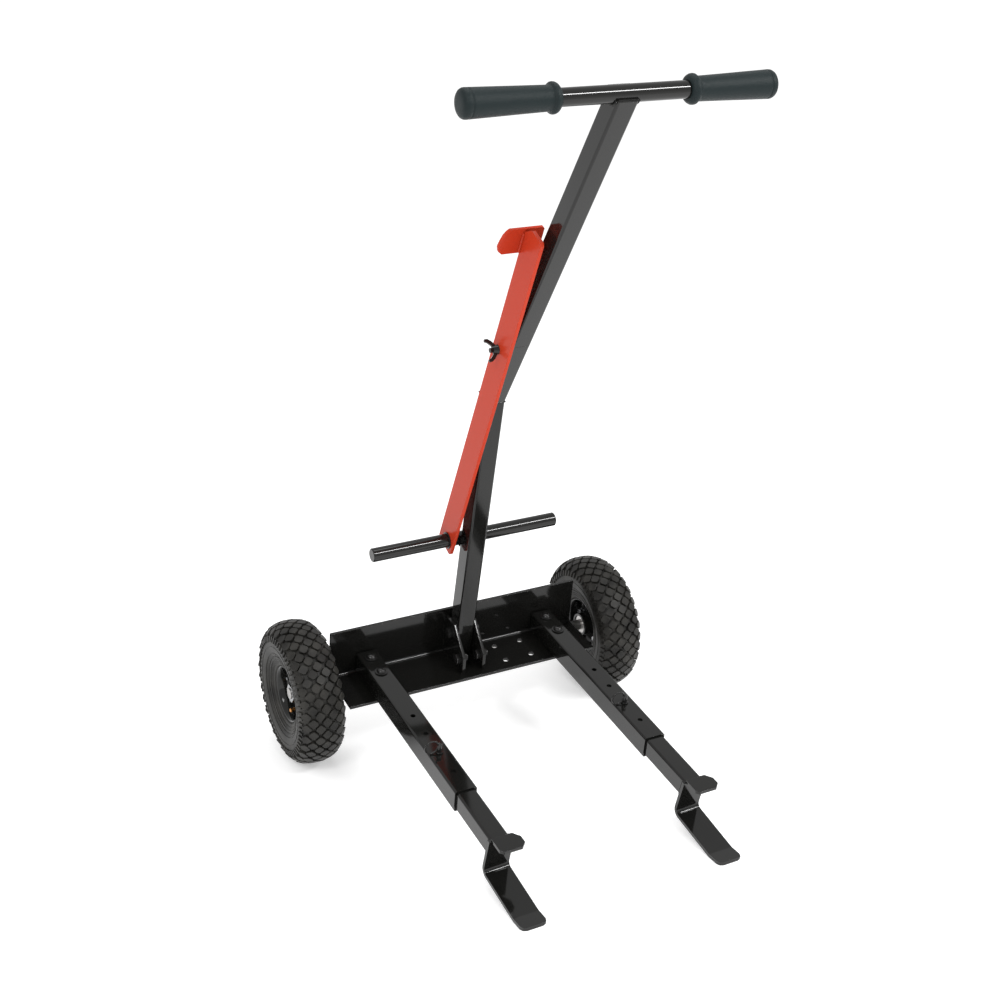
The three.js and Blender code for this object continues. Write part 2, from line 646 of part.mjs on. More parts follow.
// ---- wheels -------------------------------------------------------------------------------------
// Half of a mirrored profile, [along the axle, radius], closed into a full one.
function mirrored(outerHalf, innerHalf) {
  const flip = (points) => points.map(([along, radius]) => [-along, radius]).reverse();
  const loop = [...outerHalf, ...flip(outerHalf), ...innerHalf, ...flip(innerHalf)];
  return [...loop, loop[0]];
}

function buildTyre(wheel, name) {
  const w = TYRE_HALF_WIDTH;
  const bead = RIM_SEAT_RADIUS + GAP + 0.3;
  const outside = [
    [27, bead], [27, RIM_FLANGE_RADIUS + 1], [w - 6, 72], [w, 92], [w - 3, 111], [w - 11, 124],
    [w - 24, WHEEL_RADIUS],
  ];
  const inside = [[-19, bead], [-20, 64], [-34, 88], [-22, 116]];
  add(wheel, `tyre_${name}`, turnedX(mirrored(outside, inside), 28), tyreRubber);

  const ringSection = [];
  for (let i = 0; i <= 6; i += 1) {
    const angle = (i / 6) * Math.PI * 2;
    ringSection.push([28 * Math.cos(angle), 89 + 24 * Math.sin(angle)]);
  }
  add(wheel, `inner_tube_${name}`, turnedX(ringSection, 20), tubeRubber);
}

// Two pressed dishes, back to back, bolted together over the hub.
function buildRim(wheel, name) {
  const t = RIM_SHEET;
  const [seat, lip, edge] = [RIM_SEAT_RADIUS, RIM_FLANGE_RADIUS, RIM_HALF_WIDTH];
  const dish = [
    [GAP, HUB_RADIUS + GAP], [GAP, seat], [edge - t, seat], [edge - t, lip],
    [edge, lip], [edge, seat - t], [7, seat - t], [GAP + t, seat - 7], [GAP + t, HUB_RADIUS + GAP],
  ];
  const loop = [...dish, dish[0]];
  add(wheel, `rim_outer_${name}`, turnedX(loop, 24), blackPaint);
  add(wheel, `rim_inner_${name}`, turnedX(loop.map(([along, r]) => [-along, r]), 24), blackPaint);
}

function buildHub(wheel, name) {
  const tube = turnedX([
    [HUB_INNER_END, HUB_BORE], [HUB_INNER_END, HUB_RADIUS], [HUB_OUTER_END, HUB_RADIUS],
    [HUB_OUTER_END, HUB_BORE], [HUB_INNER_END, HUB_BORE],
  ], 16);
  add(wheel, `hub_${name}`, tube, blackPaint);
  const recess = 2 + BEARING_WIDTH / 2;
  for (const [place, middle] of [['outer', HUB_OUTER_END - recess], ['inner', HUB_INNER_END + recess]]) {
    const ring = roundTube(HUB_BORE - GAP, HUB_BORE - GAP - AXLE_RADIUS - 0.4, BEARING_WIDTH / 2, 16);
    add(wheel, `bearing_${place}_${name}`, ring.translate(middle, 0, 0), steel);
  }
}

function buildWheel(name, side) {
  const wheel = new THREE.Group();
  wheel.position.set(side * WHEEL_X, 0, WHEEL_RADIUS);
  if (side < 0) wheel.rotation.y = Math.PI;
  dolly.add(wheel);
  buildTyre(wheel, name);
  buildRim(wheel, name);
  buildHub(wheel, name);
}

// ---- the whole object ---------------------------------------------------------------------------
buildBase();
buildAxle();
buildGussets();
buildGussetBolts();
buildUpright();
buildHandle();
buildGrips();
buildCrossBar();
buildLeg();
buildFootPlate();
buildLegRetainers();
buildClamp();
for (const [name, side] of [['left', -1], ['right', 1]]) {
  const x = side * FORK_X;
  buildFork(name, x);
  buildHook(name, x);
  buildForkBolts(name, x);
  buildHitchPin(name, x);
  buildWheel(name, side);
}

// The origin is the middle of the underside of the whole object's box.
dolly.updateMatrixWorld(true);
const extent = new THREE.Box3().setFromObject(dolly, true);
const middle = extent.getCenter(new THREE.Vector3());
dolly.position.set(-middle.x, -middle.y, -extent.min.z);

export default dolly;
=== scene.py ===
"""The look of a wheeled lever lifting dolly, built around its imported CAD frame.

The scene is in metres in the CAD's frame: +Z up, the forks point to -Y. Dimensions below are in
millimetres, in the coordinates of the leaning frame (origin on the axle), of a wheel or of the leg.
"""

import json
import math
import random

import bpy
from mathutils import Matrix, Vector


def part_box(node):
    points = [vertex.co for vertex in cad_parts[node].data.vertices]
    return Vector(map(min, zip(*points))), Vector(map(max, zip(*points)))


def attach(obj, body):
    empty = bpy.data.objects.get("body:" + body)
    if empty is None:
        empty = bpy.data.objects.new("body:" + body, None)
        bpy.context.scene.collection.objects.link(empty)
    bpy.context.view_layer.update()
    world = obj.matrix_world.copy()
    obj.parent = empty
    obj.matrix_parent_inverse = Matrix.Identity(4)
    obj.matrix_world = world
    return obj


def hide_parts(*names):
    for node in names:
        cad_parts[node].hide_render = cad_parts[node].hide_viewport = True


MM = 0.001
LEAN = math.radians(9.5)  # the whole frame leans forward about the axle

# camera: place relative to the middle of the axle, and the direction it looks in
CAMERA_FROM_AXLE = (-1.113, -2.312, 1.308)
CAMERA_AZIMUTH = math.radians(-27.69)
CAMERA_PITCH = math.radians(21.22)
CAMERA_ROLL = math.radians(-0.15)
CAMERA_LENS = 54.65
CAMERA_SENSOR = 36.0

# studio, in metres and watts
LIGHT_TARGET = (0, -0.05, 0.45)
LIGHTS = (  # name, place, size, power
    ("key", (-2.2, -2.0, 3.0), (1.2, 1.0), 42.0),
    ("strip", (1.5, -2.15, 2.7), (1.3, 0.28), 60.0),
    ("top", (0.2, 0.6, 3.8), (2.0, 1.2), 24.0),
)
SKY_STRENGTH = 0.8
FLOOR_REACH = 30.0
FLOOR_DROP = 0.0005
FLOOR_GLOW = 0.35

# wheel
TYRE_RADIUS = 131.0
TREAD_COUNT = 32
TREAD_ROW_STEP = 11.6
TREAD_ROWS = 7
TREAD_GROOVE = 2.3
TREAD_HEIGHT = 5.8
TREAD_BLUNTNESS = 0.2  # share of each block side that its corner cuts take
TREAD_SHIFT = 0.03  # how far a block strays from its place, as a share of the pitch
TREAD_WEAR = 0.7
WEAR_SEED = 4
RIB_HEIGHT = 2.6
CARCASS = [
    (23.5, 50.4), (26.5, 51.4), (29.4, 54.0), (30.6, 57.2), (30.0, 59.6), (31.6, 61.4), (33.6, 65.0),
    (34.6, 68.6), (34.8, 71.0), (36.8, 74.0), (39.0, 80.0), (40.4, 87.0), (40.9, 94.0), (40.3, 101.0),
    (38.6, 106.8), (35.6, 112.0), (31.6, 116.2), (26.4, 119.8), (20.0, 122.4), (13.0, 124.2),
    (6.5, 125.0), (0.0, 125.2),
]
RIM_BOLT_COUNT = 5
RIM_BOLT_CIRCLE = 35.0
HUB_INNER_END = -30.0
HUB_OUTER_END = 12.0
VALVE_BELOW_HUB = 34.0
DISC_FACE = 2.9  # half the thickness of the two pressed discs
SIDEWALL_RINGS = ((40.5, 90.0), (37.9, 77.0), (34.9, 70.4), (33.6, 65.2))
SIDEWALL_RING_WIRE = 0.8

# forks
FORK_X = 181.0
FORK_TOP = 57.0
PIN_Y = -311.6
PIN_RING_RADIUS = 12.0
PIN_RING_WIRE = 1.5
BOLT_Y = (-24.7, -70.7)
BOLT_HEAD = (  # height above the fork and radius, washer first
    (0.2, 0), (0.2, 11.2), (0.6, 11.5), (1.8, 11.5), (2.1, 11.1), (2.1, 8.6), (3.4, 8.5), (5.6, 7.2),
    (7.0, 5.0), (7.4, 3.4), (5.4, 3.2), (5.4, 0),
)

# upright, in the leaning frame
POST_HALF = 17.0
POST_BEND = (-70.0, 572.7)
POST_FRONT_FOOT = (-37.0, 18.2)
LOWER_LEAN = math.radians(5.2)
UPPER_LEAN = math.radians(26.6)
HANDLE_DISTANCE = 653.0  # bend to the middle of the handlebar
GUSSET_OUTSIDE = 23.3
BASE_TOP = 16.4

# cross bar, handlebar and prop leg
BAR_RADIUS = 12.5
PIVOT = (-12.33, 267.0)
LEG_LEAN = math.radians(18.3)
LEG_FACES = (-35.4, -29.4)

SIDES = {"left": -1, "right": 1}

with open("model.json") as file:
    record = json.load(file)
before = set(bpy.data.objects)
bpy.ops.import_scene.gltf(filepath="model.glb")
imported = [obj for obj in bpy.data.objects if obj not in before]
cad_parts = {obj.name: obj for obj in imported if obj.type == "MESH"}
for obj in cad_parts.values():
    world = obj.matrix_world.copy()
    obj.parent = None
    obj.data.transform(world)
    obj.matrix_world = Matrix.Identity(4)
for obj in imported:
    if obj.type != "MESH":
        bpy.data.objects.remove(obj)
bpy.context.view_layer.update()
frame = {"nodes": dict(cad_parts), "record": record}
nodes = frame["nodes"]


def centre_of(node):
    low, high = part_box(node)
    return (low + high) / 2


AXLE = (centre_of("tyre_left") + centre_of("tyre_right")) / 2
# frame and leg coordinates in millimetres; the leg's +Z runs along it and +Y to its rear edge
FRAME = Matrix.Translation(AXLE) @ Matrix.Rotation(LEAN, 4, "X") @ Matrix.Scale(MM, 4)
LEG = FRAME @ Matrix.Translation((0, *PIVOT)) @ Matrix.Rotation(LEG_LEAN, 4, "X")


def wheel_matrix(name):
    """Wheel coordinates in millimetres: +X points out of the dolly, the hub is the origin."""
    turn = Matrix.Rotation(math.pi if SIDES[name] < 0 else 0.0, 4, "Z")
    return Matrix.Translation(centre_of(f"tyre_{name}")) @ turn @ Matrix.Scale(MM, 4)


# ---- materials -----------------------------------------------------------------------------------
def principled(name, colour, roughness, metallic=0.0, specular=0.5):
    material = bpy.data.materials.new(name)
    material.use_nodes = True
    shader = material.node_tree.nodes["Principled BSDF"]
    shader.inputs["Base Color"].default_value = (*colour, 1.0)
    shader.inputs["Roughness"].default_value = roughness
    shader.inputs["Metallic"].default_value = metallic
    shader.inputs["Specular IOR Level"].default_value = specular
    return material


def add_bump(material, scale, strength, distance):
    """Fine relief from a noise in the object's own coordinates."""
    tree = material.node_tree
    shader = tree.nodes["Principled BSDF"]
    place = tree.nodes.new("ShaderNodeTexCoord")
    noise = tree.nodes.new("ShaderNodeTexNoise")
    noise.inputs["Scale"].default_value = scale
    noise.inputs["Detail"].default_value = 2.0
    bump = tree.nodes.new("ShaderNodeBump")
    bump.inputs["Strength"].default_value = strength
    bump.inputs["Distance"].default_value = distance
    tree.links.new(place.outputs["Object"], noise.inputs["Vector"])
    tree.links.new(noise.outputs["Fac"], bump.inputs["Height"])
    tree.links.new(bump.outputs["Normal"], shader.inputs["Normal"])
    return material


def vary_colour(material, dark, light, scale, low=0.35, high=0.65):
    """Soft patches between two colours."""
    tree = material.node_tree
    shader = tree.nodes["Principled BSDF"]
    place = tree.nodes.new("ShaderNodeTexCoord")
    noise = tree.nodes.new("ShaderNodeTexNoise")
    noise.inputs["Scale"].default_value = scale
    noise.inputs["Detail"].default_value = 6.0
    ramp = tree.nodes.new("ShaderNodeValToRGB")
    ramp.color_ramp.elements[0].position = low
    ramp.color_ramp.elements[0].color = (*dark, 1.0)
    ramp.color_ramp.elements[1].position = high
    ramp.color_ramp.elements[1].color = (*light, 1.0)
    tree.links.new(place.outputs["Object"], noise.inputs["Vector"])
    tree.links.new(noise.outputs["Fac"], ramp.inputs["Fac"])
    tree.links.new(ramp.outputs["Color"], shader.inputs["Base Color"])
    return material


def make_materials():
    black = principled("black_enamel", (0.006, 0.006, 0.0055), 0.09, specular=0.36)
    add_bump(black, 120.0, 0.012, 0.0003)
    red = principled("red_enamel", (0.45, 0.037, 0.014), 0.24, specular=0.1)
    add_bump(red, 300.0, 0.04, 0.0004)
    grip = principled("grip_rubber", (0.009, 0.015, 0.016), 0.42, specular=0.16)
    add_bump(grip, 1500.0, 0.6, 0.0006)
    tyre = principled("tyre_rubber", (0.014, 0.0132, 0.0118), 0.46, specular=0.22)
    vary_colour(tyre, (0.008, 0.0076, 0.0068), (0.026, 0.0246, 0.0215), 30.0)
    add_bump(tyre, 700.0, 0.35, 0.0005)
    tube = principled("butyl", (0.01, 0.01, 0.01), 0.6)
    zinc = principled("zinc_plate", (0.36, 0.365, 0.375), 0.24, metallic=1.0)
    steel = principled("bare_steel", (0.42, 0.41, 0.4), 0.32, metallic=1.0)
    dark = principled("blackened_steel", (0.009, 0.0088, 0.0085), 0.14, specular=0.4)
    brass = principled("brass", (0.72, 0.33, 0.1), 0.28, metallic=1.0)
    return {
        "black_paint": black, "red_paint": red, "grip_rubber": grip, "tyre_rubber": tyre,
        "tube_rubber": tube, "zinc_plate": zinc, "bare_steel": steel, "black_steel": dark,
        "brass": brass,
    }


MATERIALS = make_materials()


# ---- mesh helpers --------------------------------------------------------------------------------
def shade(obj, angle=35.0):
    obj.data.shade_smooth()
    obj.data.set_sharp_from_angle(angle=math.radians(angle))


def piece(name, verts, faces, matrix, slot, body, finish=None, stands_for=(), angle=35.0):
    """A mesh in the given coordinates that rides on a CAD body."""
    mesh = bpy.data.meshes.new(name)
    mesh.from_pydata([matrix @ Vector(v) for v in verts], [], faces)
    mesh.validate()
    mesh.update()
    obj = bpy.data.objects.new(name, mesh)
    bpy.context.scene.collection.objects.link(obj)
    obj.data.materials.append(MATERIALS[finish or slot])
    shade(obj, angle)
    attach(obj, body)
    if stands_for:
        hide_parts(*stands_for)
    return obj


def lathe(profile, sides=96, axis="x"):
    """(along, radius) points turned about an axis; a profile that ends on the axis is closed there."""
    verts = []
    faces = []
    rings = []
    for along, radius in profile:
        if radius <= 1e-6:
            rings.append([len(verts)])
            verts.append((along, 0.0, 0.0))
            continue
        start = len(verts)
        for i in range(sides):
            angle = math.tau * i / sides
            verts.append((along, radius * math.cos(angle), radius * math.sin(angle)))
        rings.append(list(range(start, start + sides)))
    for low, high in zip(rings, rings[1:]):
        for i in range(sides):
            j = (i + 1) % sides
            if len(low) == 1:
                faces.append((low[0], high[i], high[j]))
            elif len(high) == 1:
                faces.append((low[i], high[0], low[j]))
            else:
                faces.append((low[i], high[i], high[j], low[j]))
    if axis == "z":
        verts = [(y, z, x) for x, y, z in verts]
    return verts, faces


def ring_of(profile, sides=96):
    """A closed section turned about X into a ring."""
    return lathe(list(profile) + [profile[0]], sides)


def merged(*parts):
    verts = []
    faces = []
    for part_verts, part_faces in parts:
        base = len(verts)
        verts += part_verts
        faces += [tuple(base + i for i in face) for face in part_faces]
    return verts, faces


def moved(part, matrix):
    verts, faces = part
    return [tuple(matrix @ Vector(v)) for v in verts], faces


def tube_along(points, radius, sides=10, closed=False):
    """A round wire through points, with a radius that may be a list."""
    points = [Vector(p) for p in points]
    count = len(points)
    radii = radius if isinstance(radius, (list, tuple)) else [radius] * count
    verts = []
    faces = []
    up = Vector((0.31, 0.17, 0.93))
    for i, point in enumerate(points):
        before = points[i - 1] if closed or i else point
        after = points[(i + 1) % count] if closed or i < count - 1 else point
        along = (after - before).normalized()
        side = along.cross(up).normalized()
        over = side.cross(along)
        for k in range(sides):
            angle = math.tau * k / sides
            verts.append(tuple(point + radii[i] * (math.cos(angle) * side + math.sin(angle) * over)))
    last = count if closed else count - 1
    for i in range(last):
        for k in range(sides):
            a = i * sides + k
            b = i * sides + (k + 1) % sides
            c = ((i + 1) % count) * sides + (k + 1) % sides
            d = ((i + 1) % count) * sides + k
            faces.append((a, d, c, b))
    if not closed:
        faces.append(tuple(range(sides)))
        faces.append(tuple(reversed(range((count - 1) * sides, count * sides))))
    return verts, faces


def weld(points, radius, ripple=0.15, step=0.9):
    """A weld's overlapping ripples along a line of points."""
    line = [Vector(p) for p in points]
    dense = [line[0]]
    for a, b in zip(line, line[1:]):
        count = max(round((b - a).length / step), 1)
        dense += [a.lerp(b, (i + 1) / count) for i in range(count)]
    radii = [radius * (1 + (ripple if i % 2 else -ripple)) for i in range(len(dense))]
    radii[0] *= 0.5
    radii[-1] *= 0.5
    return tube_along(dense, radii, sides=8)


def hexagon(flats, height, chamfer=0.8):
    """A hexagon nut or head along X, from 0 to its height."""
    corner = flats / math.sqrt(3)
    verts = []
    faces = []
    for along, scale in ((0, 1.0), (height - chamfer, 1.0), (height, 0.9)):
        for i in range(6):
            angle = math.tau * i / 6
            verts.append((along, corner * scale * math.cos(angle), corner * scale * math.sin(angle)))
    faces.append(tuple(reversed(range(6))))
    for level in (0, 6):
        for i in range(6):
            j = (i + 1) % 6
            faces.append((level + i, level + j, level + 6 + j, level + 6 + i))
    faces.append(tuple(range(12, 18)))
    return verts, faces


def facing(x, y, z, axis):
    """Places a piece made along +X at a point so that it points along an axis."""
    turn = Vector((1, 0, 0)).rotation_difference(Vector(axis)).to_matrix().to_4x4()
    return Matrix.Translation((x, y, z)) @ turn


# ---- CAD nodes -----------------------------------------------------------------------------------
SHEET_NODES = ("base_angle", "gusset_left", "gusset_right", "prop_leg", "foot_plate",
               "hook_strap_left", "hook_strap_right", "hook_tab_left", "hook_tab_right")
TUBE_NODES = ("upright_lower", "upright_upper", "handle_stem", "fork_outer_left", "fork_outer_right",
              "fork_inner_left", "fork_inner_right", "cross_bar", "handlebar")


def soften(obj, width, angle):
    """Rounds a CAD node's edges a little with modifiers; its own vertices stay as they are."""
    joined = obj.modifiers.new("weld", "WELD")
    joined.merge_threshold = 1e-5
    bevel = obj.modifiers.new("bevel", "BEVEL")
    bevel.width = width * MM
    bevel.segments = 2
    bevel.limit_method = "ANGLE"
    bevel.angle_limit = math.radians(angle)
    bevel.use_clamp_overlap = True
    normals = obj.modifiers.new("normals", "WEIGHTED_NORMAL")
    normals.mode = "FACE_AREA"
    normals.weight = 60


def dress_cad_nodes():
    slots = {item["node"]: item["material_slot"] for item in frame["record"]["subparts"]}
    for name, obj in nodes.items():
        obj.data.materials.clear()
        obj.data.materials.append(MATERIALS[slots[name]])
        obj.data.shade_smooth()
        if name in SHEET_NODES:
            soften(obj, 0.9, 40)
        elif name in TUBE_NODES:
            soften(obj, 0.45, 50)
        else:
            soften(obj, 0.3, 35)


# ---- wheels --------------------------------------------------------------------------------------
def arc_lengths(points):
    """Distances along the half section, counted from the crown (the last point)."""
    run = [0.0]
    backwards = points[::-1]
    for a, b in zip(backwards, backwards[1:]):
        run.append(run[-1] + math.dist(a, b))
    return backwards, run


CROWN_LINE, CROWN_RUN = arc_lengths(CARCASS)


def on_carcass(across, height):
    """(x, r) at a signed distance across the tread and a height above the carcass."""
    distance = min(abs(across), CROWN_RUN[-1])
    for i in range(len(CROWN_RUN) - 1):
        if distance <= CROWN_RUN[i + 1]:
            break
    share = (distance - CROWN_RUN[i]) / (CROWN_RUN[i + 1] - CROWN_RUN[i])
    (x0, r0), (x1, r1) = CROWN_LINE[i], CROWN_LINE[i + 1]
    x = x0 + (x1 - x0) * share
    r = r0 + (r1 - r0) * share
    length = math.dist((x0, r0), (x1, r1))
    nx, nr = (r0 - r1) / length, (x1 - x0) / length
    side = 1 if across >= 0 else -1
    return side * (x + nx * height), r + nr * height


def block(outline, angle, across, height):
    """A raised block with a rounded top edge. outline: (along the tread, across) points."""
    verts = []
    faces = []
    count = len(outline)
    for scale, level in ((1.08, -0.6), (1.0, height * 0.88), (0.92, height)):
        for u, v in outline:
            x, r = on_carcass(across + v * scale, level)
            turn = angle + u * scale / (TYRE_RADIUS - 2)
            verts.append((x, r * math.cos(turn), r * math.sin(turn)))
    for ring in range(2):
        for i in range(count):
            j = (i + 1) % count
            a, b = ring * count + i, ring * count + j
            faces.append((a, b, b + count, a + count))
    faces.append(tuple(range(2 * count, 3 * count)))
    return verts, faces


WEAR = random.Random(WEAR_SEED)


def tread_blocks():
    """Rows of cornered lozenges, each row half a pitch on from the last."""
    pitch = math.tau * (TYRE_RADIUS - 2) / TREAD_COUNT
    a = pitch / 2 - TREAD_GROOVE
    b = TREAD_ROW_STEP - TREAD_GROOVE * 0.85
    cut_a = a * TREAD_BLUNTNESS
    cut_b = b * TREAD_BLUNTNESS
    outline = []
    for su, sv, order in ((1, 1, 0), (-1, 1, 1), (-1, -1, 0), (1, -1, 1)):
        pair = [(su * (a - cut_a), sv * cut_b), (su * cut_a, sv * (b - cut_b))]
        outline += pair[::-1] if order else pair
    parts = []
    half = TREAD_ROWS // 2
    for row in range(-half, half + 1):
        shift = 0.5 if row % 2 else 0.0
        height = TREAD_HEIGHT if abs(row) < half else TREAD_HEIGHT * 0.85
        for i in range(TREAD_COUNT):
            angle = math.tau * (i + shift + WEAR.uniform(-TREAD_SHIFT, TREAD_SHIFT)) / TREAD_COUNT
            worn = height - WEAR.uniform(0.0, TREAD_WEAR)
            parts.append(block(outline, angle, row * TREAD_ROW_STEP, worn))
    return parts


def shoulder_ribs():
    """Short radial ribs between the tread and the sidewalls."""
    parts = []
    outline = [(2.6, -4.5), (2.6, 5.5), (-2.6, 5.5), (-2.6, -4.5)]
    across = TREAD_ROW_STEP * 4 + 1.5
    for side in (-1, 1):
        for i in range(TREAD_COUNT * 2):
            angle = math.tau * (i + 0.5) / (TREAD_COUNT * 2)
            parts.append(block(outline[::side], angle, side * across, RIB_HEIGHT))
    return parts


def make_tyre(name, place):
    flipped = [(-x, r) for x, r in CARCASS[:-1]][::-1]
    inside = [(-19.0, 50.4), (-20.0, 64.0), (-34.0, 88.0), (-22.0, 116.0), (22.0, 116.0), (34.0, 88.0),
              (20.0, 64.0), (19.0, 50.4)]
    carcass = ring_of(CARCASS + flipped + inside, 128)
    verts, faces = merged(carcass, *tread_blocks(), *shoulder_ribs())
    piece(f"tyre_look_{name}", verts, faces, place, "tyre_rubber", f"wheel_{name}",
          stands_for=(f"tyre_{name}",), angle=24)


def sidewall_lines(name, place):
    """Fine raised rings on both sidewalls."""
    parts = []
    for side in (-1, 1):
        for x, r in SIDEWALL_RINGS:
            points = [(side * x, r * math.cos(math.tau * i / 96), r * math.sin(math.tau * i / 96))
                      for i in range(96)]
            parts.append(tube_along(points, SIDEWALL_RING_WIRE, 6, closed=True))
    verts, faces = merged(*parts)
    piece(f"sidewall_rings_{name}", verts, faces, place, "tyre_rubber", f"wheel_{name}", angle=60)


RIM_SECTION = [
    (0.3, 22.3), (0.3, 45.0), (3.0, 47.0), (20.0, 47.8), (23.0, 49.0), (25.2, 50.6), (26.6, 51.3),
    (27.6, 51.0), (27.4, 49.8), (25.5, 48.0), (22.0, 46.0), (12.0, 45.0), (7.0, 43.5), (3.4, 40.4),
    (2.8, 38.0), (2.8, 22.3),
]


def make_rim(name, place):
    for half, side in (("outer", 1), ("inner", -1)):
        section = [(side * x, r) for x, r in RIM_SECTION]
        verts, faces = ring_of(section if side > 0 else section[::-1], 96)
        piece(f"rim_look_{half}_{name}", verts, faces, place, "black_paint", f"wheel_{name}",
              stands_for=(f"rim_{half}_{name}",), angle=50)
    hub = ring_of([
        (HUB_INNER_END, 17.8), (HUB_INNER_END, 21.4), (HUB_INNER_END + 0.6, 22.0),
        (HUB_OUTER_END - 0.6, 22.0), (HUB_OUTER_END, 21.4), (HUB_OUTER_END, 17.8),
    ], 64)
    collar = []
    for side in (1, -1):
        section = [(DISC_FACE, 22.1), (DISC_FACE, 27.5), (6.0, 24.5), (7.5, 22.1)]
        section = [(side * x, r) for x, r in section]
        collar.append(ring_of(section[::side], 64))
    verts, faces = merged(hub, *collar)
    piece(f"hub_look_{name}", verts, faces, place, "black_paint", f"wheel_{name}",
          stands_for=(f"hub_{name}",), angle=40)


def make_rim_fasteners(name, place):
    """Nuts round both faces of the disc, and a brass-capped valve that points out of the dish."""
    parts = []
    for i in range(RIM_BOLT_COUNT):
        angle = math.tau * (i + 0.2) / RIM_BOLT_COUNT
        y, z = RIM_BOLT_CIRCLE * math.cos(angle), RIM_BOLT_CIRCLE * math.sin(angle)
        for side in (1, -1):
            washer = lathe([(0, 0), (0, 7.2), (1.2, 7.2), (1.2, 0)], 32)
            nut = moved(hexagon(11.0, 6.5), Matrix.Translation((1.2, 0, 0)))
            end = moved(lathe([(0, 0), (0, 3.2), (4.5, 3.2), (5.2, 2.4), (5.2, 0)], 20),
                        Matrix.Translation((7.2, 0, 0)))
            stack = merged(washer, nut, end) if side > 0 else merged(washer, nut)
            parts.append(moved(stack, facing(side * DISC_FACE, y, z, (side, 0, 0))))
    verts, faces = merged(*parts)
    piece(f"rim_bolts_{name}", verts, faces, place, "zinc_plate", f"wheel_{name}", angle=30)
    valve = Matrix.Translation((2.8, 0, -VALVE_BELOW_HUB))
    stem = lathe([(0, 0), (0, 5.0), (3, 4.2), (6, 3.9), (6, 0)], 24)
    verts, faces = moved(stem, valve)
    piece(f"valve_stem_{name}", verts, faces, place, "tube_rubber", f"wheel_{name}")
    cap = lathe([(6, 0), (6, 2.9), (10, 2.9), (10.4, 3.7), (19, 3.7), (20, 2.8), (20, 0)], 24)
    verts, faces = moved(cap, valve)
    piece(f"valve_cap_{name}", verts, faces, place, "zinc_plate", f"wheel_{name}", finish="brass")


def make_wheels():
    for name in SIDES:
        place = wheel_matrix(name)
        make_tyre(name, place)
        sidewall_lines(name, place)
        make_rim(name, place)
        make_rim_fasteners(name, place)


# ---- bars and handle -----------------------------------------------------------------------------
def make_bar(node, chamfer):
    """A smooth round bar along X in place of a faceted one."""
    low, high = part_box(node)
    middle = (low + high) / 2
    half = (high.x - low.x) / 2 / MM
    verts, faces = lathe([
        (-half, 0), (-half, BAR_RADIUS - chamfer), (-half + chamfer, BAR_RADIUS),
        (half - chamfer, BAR_RADIUS), (half, BAR_RADIUS - chamfer), (half, 0),
    ], 96)
    place = Matrix.Translation(middle) @ Matrix.Scale(MM, 4)
    piece(f"{node}_look", verts, faces, place, "black_paint", "chassis", stands_for=(node,), angle=30)


def make_grips():
    for name, side in SIDES.items():
        low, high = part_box(f"grip_{name}")
        middle = (low + high) / 2
        inner = (high.x if side < 0 else low.x) / MM
        outer = (low.x if side < 0 else high.x) / MM
        start, end = abs(inner), abs(outer)
        profile = [
            (start, 12.8), (start, 15.0), (start + 1.2, 17.2), (start + 3.5, 19.6), (start + 6.2, 20.9),
            (start + 8.4, 21.2), (start + 10.4, 20.9), (start + 11.8, 19.9), (start + 13.0, 18.0),
            (start + 14.6, 17.3), (start + 17, 17.2), (start + 60, 18.2), (start + 100, 19.3),
            (end - 16.0, 20.0), (end - 13.6, 20.1), (end - 13.0, 19.5), (end - 12.2, 19.5),
            (end - 11.6, 20.15), (end - 8.5, 20.2), (end - 6.0, 19.9), (end - 3.6, 18.7),
            (end - 1.6, 16.2), (end - 0.5, 12.5), (end, 8.0), (end, 0.0),
        ]
        place = Matrix.Translation((0, middle.y, middle.z)) @ Matrix.Rotation(
            0 if side > 0 else math.pi, 4, "Z") @ Matrix.Scale(MM, 4)
        verts, faces = lathe(profile, 72)
        piece(f"grip_look_{name}", verts, faces, place, "grip_rubber", "chassis",
              stands_for=(f"grip_{name}",), angle=50)


# ---- fasteners -----------------------------------------------------------------------------------
def make_fork_bolts():
    """Round heads on broad washers above the fork, with shanks that go down through the base."""
    for name, side in SIDES.items():
        for where, y in zip(("rear", "front"), BOLT_Y):
            node = f"fork_bolt_{name}_{where}"
            head = lathe([(FORK_TOP + up, radius) for up, radius in BOLT_HEAD], 40, "z")
            shank = lathe([
                (-0.5, 0), (-0.5, 4.2), (0.6, 5.0), (FORK_TOP + 1, 5.0), (FORK_TOP + 1, 0),
            ], 24, "z")
            verts, faces = moved(merged(head, shank), Matrix.Translation((side * FORK_X, y, 0)))
            piece(f"fork_bolt_look_{name}_{where}", verts, faces, FRAME, "black_steel", "chassis",
                  stands_for=(node,), angle=30)


